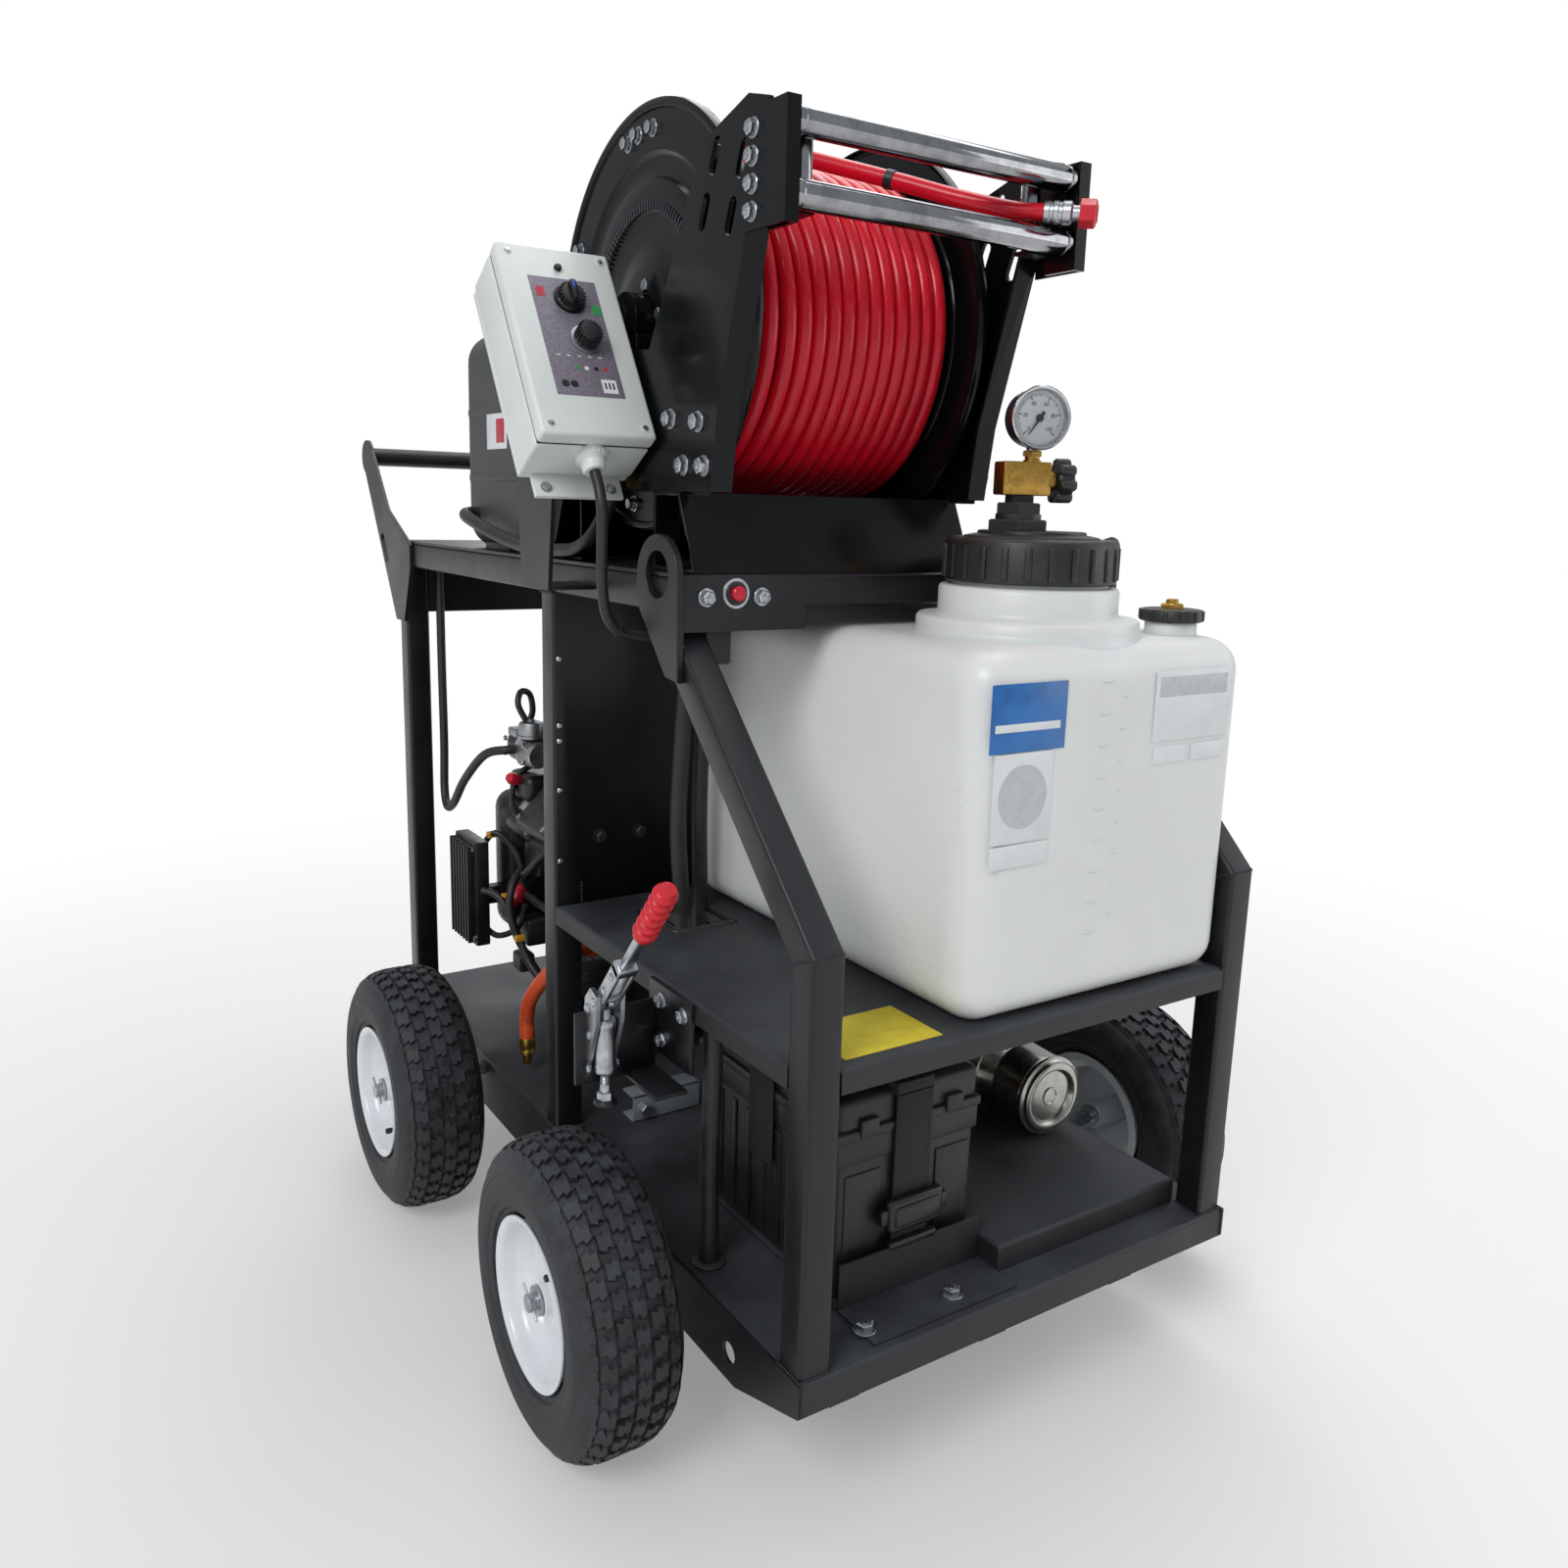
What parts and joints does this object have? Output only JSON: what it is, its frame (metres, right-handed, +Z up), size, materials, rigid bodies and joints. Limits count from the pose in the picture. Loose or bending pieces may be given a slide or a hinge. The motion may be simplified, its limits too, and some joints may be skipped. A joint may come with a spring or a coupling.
{
  "type": "pressure washer",
  "caption": "Wheeled pressure washer cart: welded frame with water tank, engine, plunger pump, hose reel with roller guide, control box and push handle.",
  "frame": {"origin": "on the ground, centred under the machine's box", "axes": "+Z up, +X to the right seen from the tank end, +Y from the tank end to the push handle"},
  "size_m": [0.982, 1.42, 1.47],
  "materials": {
    "frame_black": "fine textured powder coat",
    "gloss_black": "gloss black paint",
    "zinc": "zinc plated",
    "tread": "moulded rubber",
    "white_rim": "gloss white paint",
    "tank_poly": "translucent natural polyethylene",
    "black_plastic": "moulded, satin",
    "brass": "machined",
    "gauge_case": "satin black",
    "needle": "matt",
    "engine_black": "satin black castings and shrouds",
    "alloy": "as cast",
    "muffler_steel": "heat tinted stainless",
    "pump_alloy": "painted casting",
    "tank_grey": "moulded",
    "box_grey": "light grey powder coat",
    "knob_black": "moulded",
    "button_red": "moulded",
    "hose_red": "gloss red cover",
    "chrome_roller": "polished",
    "grip_red": "dipped grip on a zinc lever",
    "hose_black": "satin"
  },
  "bodies": {
    "frame": {"deck": "frame_black", "deck_side_left": "frame_black", "deck_side_right": "frame_black", "leg_front_left": "frame_black", "leg_front_right": "frame_black", "mid_frame": "frame_black", "post_rear_left": "frame_black", "post_rear_right": "frame_black", "top_rail_left": "frame_black", "top_rail_right": "frame_black", "platform": "frame_black", "shelf": "frame_black", "eye_plate_left": "frame_black", "eye_plate_right": "frame_black", "push_handle": "frame_black", "axle_front": "zinc", "axle_rear": "zinc", "tank": "tank_poly", "lid_dome": "black_plastic", "manifold": "brass", "gauge": "gauge_case", "battery": "black_plastic", "battery_tray": "frame_black", "engine": "engine_black", "engine_intake": "alloy", "muffler": "muffler_steel", "pump": "pump_alloy", "fuel_tank": "tank_grey", "control_box": "box_grey", "reel_base": "gloss_black", "reel_arm_left": "gloss_black", "reel_arm_right": "gloss_black", "hose_free": "hose_red", "guide_frame": "gloss_black", "brake_base": "zinc", "hoses": "hose_black", "fasteners": "zinc"},
    "wheel_front_left": {"tyre_front_left": "tread", "rim_front_left": "white_rim"},
    "wheel_front_right": {"tyre_front_right": "tread", "rim_front_right": "white_rim"},
    "wheel_rear_left": {"tyre_rear_left": "tread", "rim_rear_left": "white_rim"},
    "wheel_rear_right": {"tyre_rear_right": "tread", "rim_rear_right": "white_rim"},
    "reel": {"reel_drum": "gloss_black", "hose_coil": "hose_red"},
    "lid_ring": {"lid_ring": "black_plastic"},
    "vent_cap": {"vent_cap": "black_plastic"},
    "valve_knob": {"valve_knob": "black_plastic"},
    "gauge_needle": {"gauge_needle": "needle"},
    "selector_knob": {"selector_knob": "knob_black"},
    "throttle_knob": {"throttle_knob": "knob_black"},
    "stop_button": {"stop_button": "button_red"},
    "rollers_top": {"rollers_top": "chrome_roller"},
    "rollers_bottom": {"rollers_bottom": "chrome_roller"},
    "roller_left": {"roller_left": "chrome_roller"},
    "roller_right": {"roller_right": "chrome_roller"},
    "brake_lever": {"brake_lever": "grip_red"},
    "brake_plunger": {"brake_plunger": "zinc"}
  },
  "joints": [
    {"name": "wheel_front_left_spin", "type": "hinge", "parent": "frame", "child": "wheel_front_left", "pos_m": [-0.43, -0.425, 0.175], "axis": [1, 0, 0], "continuous": true},
    {"name": "wheel_front_right_spin", "type": "hinge", "parent": "frame", "child": "wheel_front_right", "pos_m": [0.43, -0.425, 0.175], "axis": [1, 0, 0], "continuous": true},
    {"name": "wheel_rear_left_spin", "type": "hinge", "parent": "frame", "child": "wheel_rear_left", "pos_m": [-0.43, 0.164, 0.175], "axis": [1, 0, 0], "continuous": true},
    {"name": "wheel_rear_right_spin", "type": "hinge", "parent": "frame", "child": "wheel_rear_right", "pos_m": [0.43, 0.164, 0.175], "axis": [1, 0, 0], "continuous": true},
    {"name": "reel_spin", "type": "hinge", "parent": "frame", "child": "reel", "pos_m": [-0.1075, -0.254, 1.237], "axis": [1, 0, 0], "continuous": true},
    {"name": "lid_ring_turn", "type": "hinge", "parent": "frame", "child": "lid_ring", "pos_m": [0.068, -0.554, 0.985], "axis": [0, 0, 1], "continuous": true},
    {"name": "vent_cap_turn", "type": "hinge", "parent": "frame", "child": "vent_cap", "pos_m": [0.228, -0.624, 0.93], "axis": [0, 0, 1], "continuous": true},
    {"name": "valve_knob_turn", "type": "hinge", "parent": "frame", "child": "valve_knob", "pos_m": [0.046, -0.554, 1.0723], "axis": [0.9397, -0.342, 0], "range_deg": [0, 270]},
    {"name": "gauge_needle_swing", "type": "hinge", "parent": "frame", "child": "gauge_needle", "pos_m": [0.05728, -0.5581, 1.1383], "axis": [0.342, 0.9397, 0], "range_deg": [0, 290]},
    {"name": "selector_turn", "type": "hinge", "parent": "frame", "child": "selector_knob", "pos_m": [-0.36, -0.26738, 1.25002], "axis": [0, -0.848, 0.5299], "range_deg": [-60, 60]},
    {"name": "throttle_turn", "type": "hinge", "parent": "frame", "child": "throttle_knob", "pos_m": [-0.354, -0.29494, 1.20592], "axis": [0, -0.848, 0.5299], "range_deg": [-135, 135]},
    {"name": "stop_press", "type": "slide", "parent": "frame", "child": "stop_button", "axis": [0, 1, 0], "range_m": [0, 0.006], "stiffness_N_per_m": 500, "springref_m": -0.002},
    {"name": "roller_top_spin", "type": "hinge", "parent": "frame", "child": "rollers_top", "pos_m": [-0.1075, -0.578, 1.378], "axis": [1, 0, 0], "continuous": true},
    {"name": "roller_bottom_spin", "type": "hinge", "parent": "frame", "child": "rollers_bottom", "pos_m": [-0.1075, -0.578, 1.316], "axis": [1, 0, 0], "continuous": true},
    {"name": "roller_left_spin", "type": "hinge", "parent": "frame", "child": "roller_left", "pos_m": [-0.252, -0.552, 1.347], "axis": [0, 0, 1], "continuous": true},
    {"name": "roller_right_spin", "type": "hinge", "parent": "frame", "child": "roller_right", "pos_m": [0.037, -0.552, 1.347], "axis": [0, 0, 1], "continuous": true},
    {"name": "brake_lever_swing", "type": "hinge", "parent": "frame", "child": "brake_lever", "pos_m": [-0.392, -0.431, 0.512], "axis": [1, 0, 0], "range_deg": [0, 75]},
    {"name": "brake_plunger_slide", "type": "slide", "parent": "frame", "child": "brake_plunger", "axis": [0, 0, -1], "range_m": [0, 0.036]}
  ],
  "couplings": [
    {"joint": "brake_plunger_slide", "follows": "brake_lever_swing", "m_per_rad": 0.0275}
  ]
}
